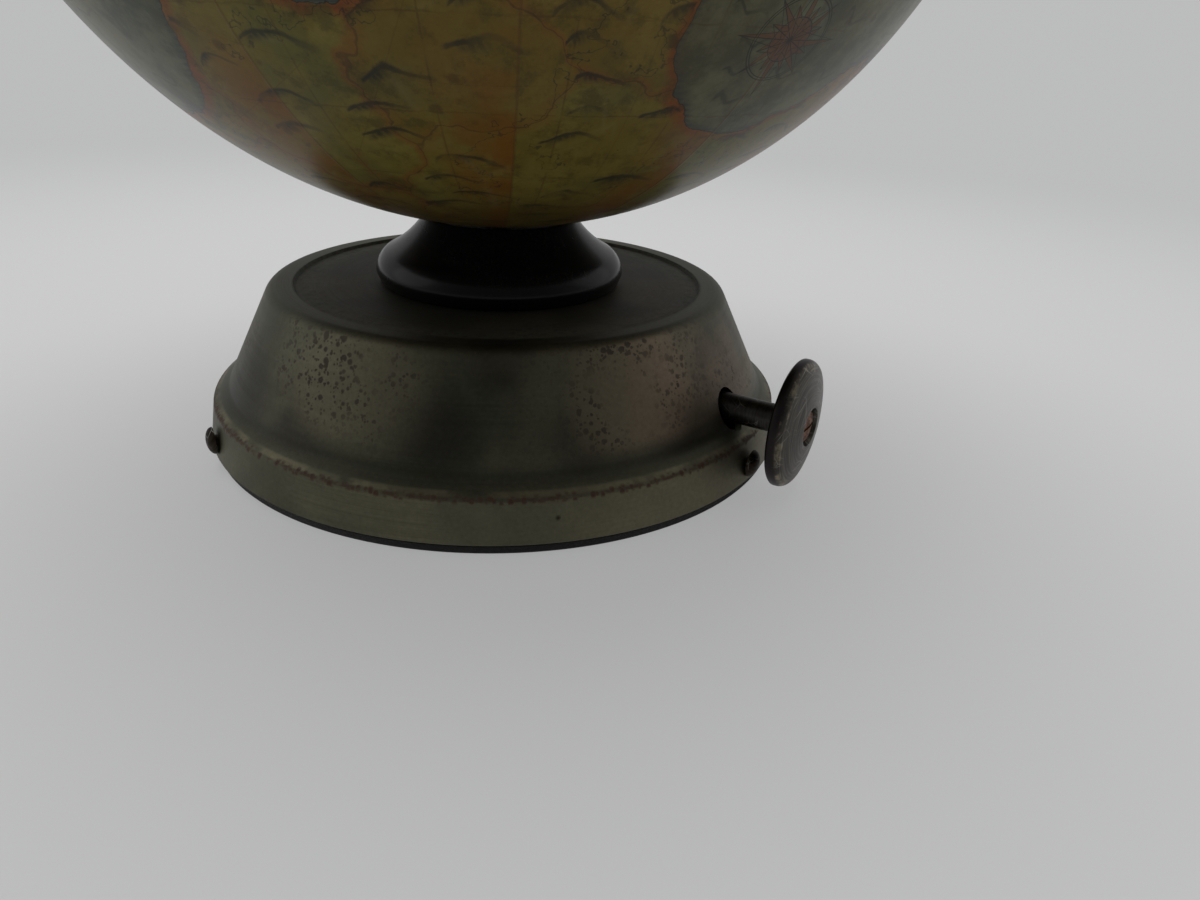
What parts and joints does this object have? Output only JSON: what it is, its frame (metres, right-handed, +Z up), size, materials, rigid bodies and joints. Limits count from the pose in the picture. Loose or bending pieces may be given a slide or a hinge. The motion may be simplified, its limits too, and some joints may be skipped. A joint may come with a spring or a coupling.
{
  "type": "globe bar",
  "caption": "Table-top globe on a round metal base: the top half opens on a rear hinge over a tray with decanter and glasses; a side knob winds a musical movement.",
  "frame": {"origin": "centre of the felt pad's underside, on the base's axis", "axes": "+Z up along the base's and the globe's axis, +Y to the hinge at the back, the winding knob at 53 degrees from -Y towards +X"},
  "size_m": [0.25, 0.2661, 0.3121],
  "materials": {
    "spun_steel": "spun, aged to an olive pewter with brown specks",
    "dark_steel": "dark gunmetal, worn bright on the edges",
    "bright_steel": "plain bright steel",
    "brass": "satin, slightly aged",
    "copper": "rusty copper colour",
    "black_plastic": "glossy black, turned",
    "black_felt": "black felt",
    "board_wood": "plain turned board",
    "map_print": "printed gores under aged varnish",
    "rim_gold": "gilt ring",
    "tray_flock": "dark red flock",
    "clear_glass": "clear, pressed"
  },
  "bodies": {
    "root": {"felt_pad": "black_felt", "base_board": "board_wood", "base_shell": "spun_steel", "side_screw_1": "dark_steel", "side_screw_2": "dark_steel", "side_screw_3": "dark_steel", "collar": "black_plastic", "spring_washer": "bright_steel", "movement_bedplate": "bright_steel", "movement_screw_1": "dark_steel", "movement_screw_2": "dark_steel", "movement_screw_3": "dark_steel", "tone_comb": "bright_steel", "comb_screw_1": "dark_steel", "comb_screw_2": "dark_steel", "comb_screw_3": "dark_steel"},
    "winder": {"winding_shaft": "dark_steel", "winding_knob": "dark_steel", "knob_screw": "copper"},
    "barrel": {"spring_barrel": "brass"},
    "cylinder": {"pin_cylinder": "brass"},
    "governor": {"governor_fly": "bright_steel"},
    "globe": {"lower_shell": "map_print", "lower_rim": "rim_gold", "tray": "tray_flock", "decanter_well": "tray_flock", "glass_well_1": "tray_flock", "glass_well_2": "tray_flock", "glass_well_3": "tray_flock", "glass_well_4": "tray_flock", "pole_washer": "brass", "pivot_bolt": "bright_steel", "pivot_nut": "bright_steel", "hinge_leaf_lower": "brass", "hinge_pin": "bright_steel", "hinge_rivet_lower_1": "brass", "hinge_rivet_lower_2": "brass"},
    "lid": {"upper_shell": "map_print", "upper_rim": "rim_gold", "hinge_leaf_upper": "brass", "hinge_rivet_upper_1": "brass", "hinge_rivet_upper_2": "brass", "lid_knob": "brass", "lid_knob_screw": "bright_steel"},
    "decanter": {"decanter": "clear_glass"},
    "stopper": {"stopper": "clear_glass"},
    "glass_1": {"glass_1": "clear_glass"},
    "glass_2": {"glass_2": "clear_glass"},
    "glass_3": {"glass_3": "clear_glass"},
    "glass_4": {"glass_4": "clear_glass"}
  },
  "joints": [
    {"name": "globe_turn", "type": "hinge", "parent": "root", "child": "globe", "pos_m": [0, 0, 0.1871], "axis": [0, 0, 1], "continuous": true},
    {"name": "lid_hinge", "type": "hinge", "parent": "globe", "child": "lid", "pos_m": [0, 0.1278, 0.1871], "axis": [-1, 0, 0], "range_deg": [0, 95]},
    {"name": "winding_turn", "type": "hinge", "parent": "root", "child": "winder", "pos_m": [0, 0, 0.02151], "axis": [0.7986, -0.6018, 0], "continuous": true},
    {"name": "barrel_turn", "type": "hinge", "parent": "root", "child": "barrel", "pos_m": [0, 0, 0.02151], "axis": [0.7986, -0.6018, 0], "continuous": true},
    {"name": "cylinder_turn", "type": "hinge", "parent": "root", "child": "cylinder", "pos_m": [-0.00758, -0.01006, 0.02151], "axis": [0.7986, -0.6018, 0], "continuous": true},
    {"name": "governor_spin", "type": "hinge", "parent": "root", "child": "governor", "pos_m": [-0.00758, -0.01006, 0.02991], "axis": [0.7986, -0.6018, 0], "continuous": true},
    {"name": "decanter_lift", "type": "slide", "parent": "globe", "child": "decanter", "axis": [0, 0, 1], "range_m": [0, 0.045]},
    {"name": "stopper_lift", "type": "slide", "parent": "decanter", "child": "stopper", "axis": [0, 0, 1], "range_m": [0, 0.018]},
    {"name": "glass_1_lift", "type": "slide", "parent": "globe", "child": "glass_1", "axis": [0, 0, 1], "range_m": [0, 0.024]},
    {"name": "glass_2_lift", "type": "slide", "parent": "globe", "child": "glass_2", "axis": [0, 0, 1], "range_m": [0, 0.024]},
    {"name": "glass_3_lift", "type": "slide", "parent": "globe", "child": "glass_3", "axis": [0, 0, 1], "range_m": [0, 0.024]},
    {"name": "glass_4_lift", "type": "slide", "parent": "globe", "child": "glass_4", "axis": [0, 0, 1], "range_m": [0, 0.024]}
  ],
  "couplings": [
    {"joint": "cylinder_turn", "follows": "barrel_turn", "ratio": -2},
    {"joint": "governor_spin", "follows": "barrel_turn", "ratio": 5}
  ]
}
